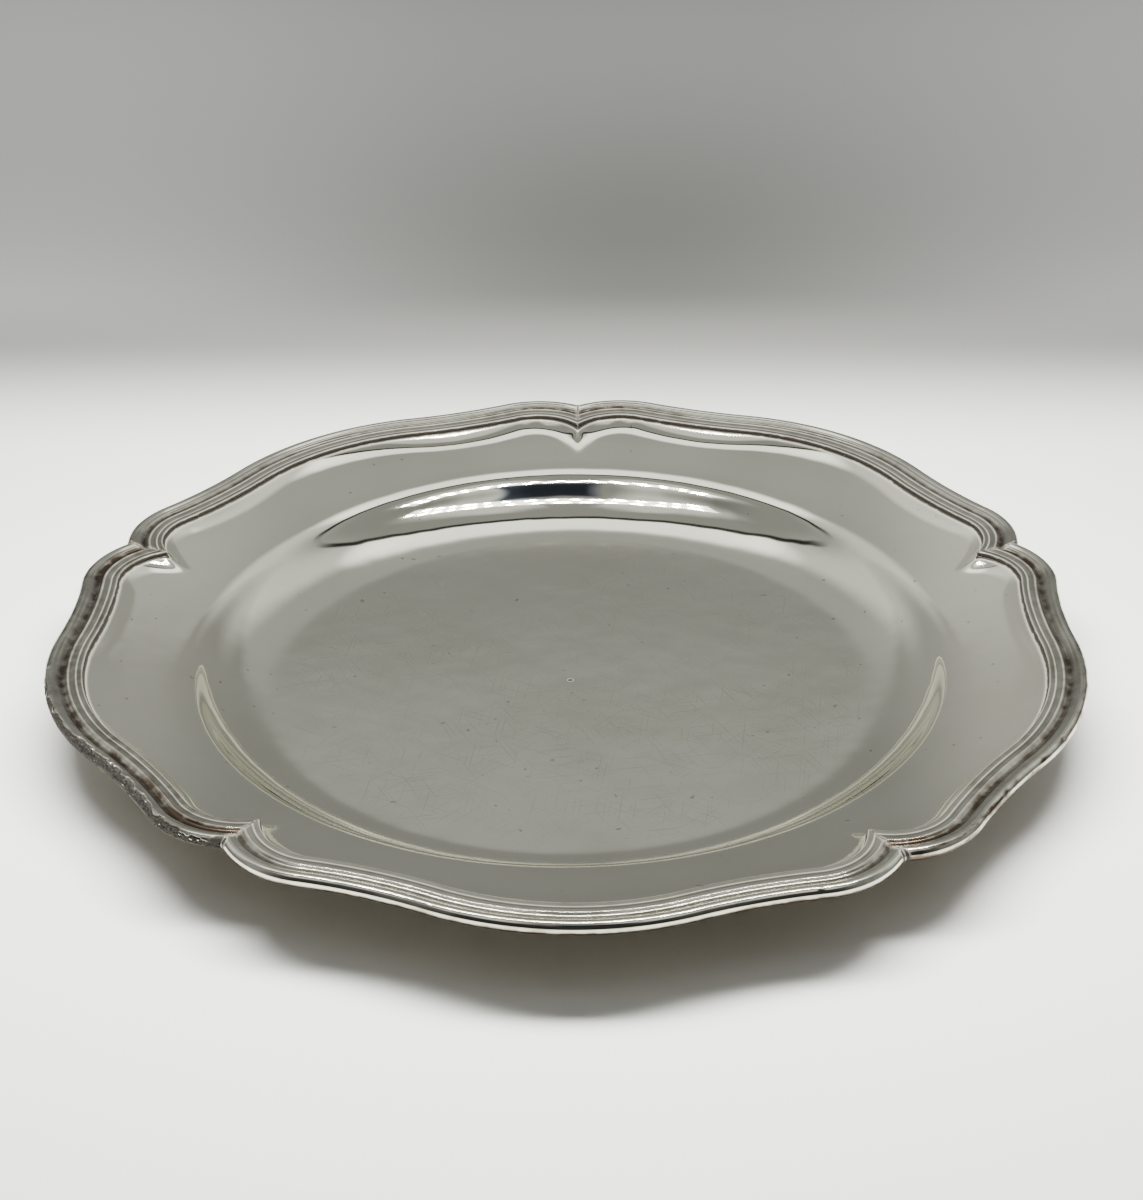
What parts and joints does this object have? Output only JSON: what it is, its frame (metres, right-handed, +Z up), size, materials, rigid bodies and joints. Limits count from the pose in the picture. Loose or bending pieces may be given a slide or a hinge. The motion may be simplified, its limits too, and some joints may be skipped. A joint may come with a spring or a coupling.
{
  "type": "paten plate",
  "caption": "Round silver plate with a shallow flat-bottomed well, a sloping flange and a lobed, mitred rim moulding; holds bread or small items in church or hall use.",
  "frame": {"origin": "centre of the flat underside of the well, on the surface the plate rests on", "axes": "+Z up out of the well; one notch of the five-lobed rim lies on the +Y side and the middle of a lobe on the -Y side"},
  "size_m": [0.2934, 0.298, 0.0242],
  "materials": {
    "raised_silver": "softly polished silver with fine wear scratches",
    "struck_silver": "polished silver, brown tarnish in the channel",
    "lead_tin_filler": "dull grey, granular",
    "silver_solder": "dull worn solder"
  },
  "bodies": {
    "root": {"plate_body": "raised_silver", "rim_moulding_1": "struck_silver", "rim_moulding_2": "struck_silver", "rim_moulding_3": "struck_silver", "rim_moulding_4": "struck_silver", "rim_moulding_5": "struck_silver", "moulding_filler_1": "lead_tin_filler", "moulding_filler_2": "lead_tin_filler", "moulding_filler_3": "lead_tin_filler", "moulding_filler_4": "lead_tin_filler", "moulding_filler_5": "lead_tin_filler", "mitre_solder": "silver_solder"}
  },
  "joints": []
}
